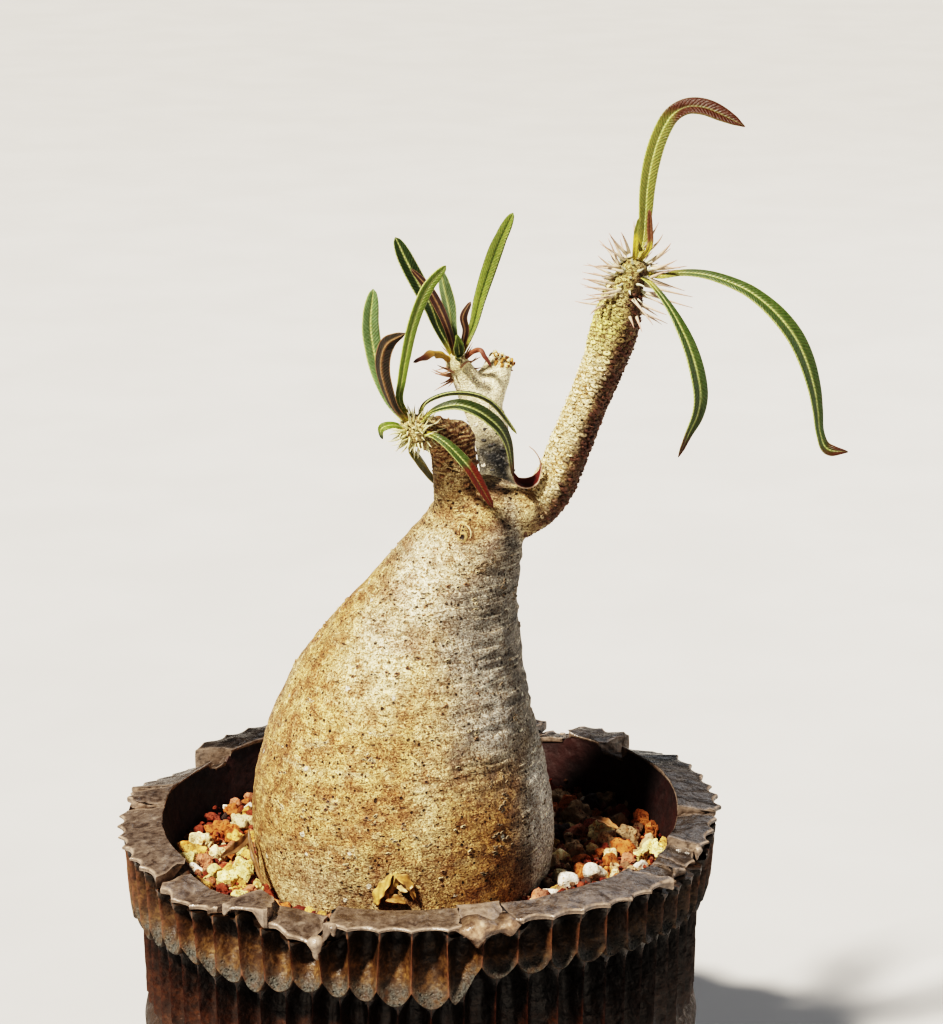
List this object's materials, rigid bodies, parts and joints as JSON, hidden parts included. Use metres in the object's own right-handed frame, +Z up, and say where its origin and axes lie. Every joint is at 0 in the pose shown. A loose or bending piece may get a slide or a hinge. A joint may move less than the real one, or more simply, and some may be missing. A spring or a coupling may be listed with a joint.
{
  "type": "potted caudex plant",
  "caption": "Potted succulent with a swollen bottle-shaped stem, spiny branches and narrow leaves, in coarse grit in a fluted dark stoneware pot.",
  "frame": {"origin": "centre of the pot's foot, on the surface that it stands on", "axes": "+Z up along the pot's axis; +X towards the tall right-hand branch, to the right in the picture; +Y away from the picture's camera"},
  "size_m": [0.1417, 0.1204, 0.224],
  "materials": {
    "pot": "satin dark brown stoneware",
    "substrate": "rough mixed pumice and fired clay grains",
    "trunk": "matte wrinkled bark with spines",
    "leaf_green": "satin leathery leaf",
    "leaf_young": "satin brown leaf underside",
    "leaf_dry": "matte dried leaf"
  },
  "bodies": {
    "root": {"pot": "pot", "substrate": "substrate", "trunk": "trunk", "leaf_right_1": "leaf_green", "leaf_right_2": "leaf_green", "leaf_right_3": "leaf_green", "leaf_left_1": "leaf_green", "leaf_left_3": "leaf_green", "leaf_left_4": "leaf_green", "leaf_left_5": "leaf_green", "leaf_left_6": "leaf_green", "leaf_left_7": "leaf_green", "leaf_mid_1": "leaf_green", "leaf_mid_3": "leaf_green", "leaf_mid_5": "leaf_green", "leaf_mid_young": "leaf_green", "leaf_right_young_1": "leaf_young", "leaf_right_young_2": "leaf_young", "leaf_left_2": "leaf_young", "leaf_left_young": "leaf_young", "leaf_mid_2": "leaf_young", "leaf_mid_4": "leaf_young", "dry_leaf_mid_1": "leaf_dry", "dry_leaf_mid_2": "leaf_dry", "dry_curl": "leaf_dry"}
  },
  "joints": []
}
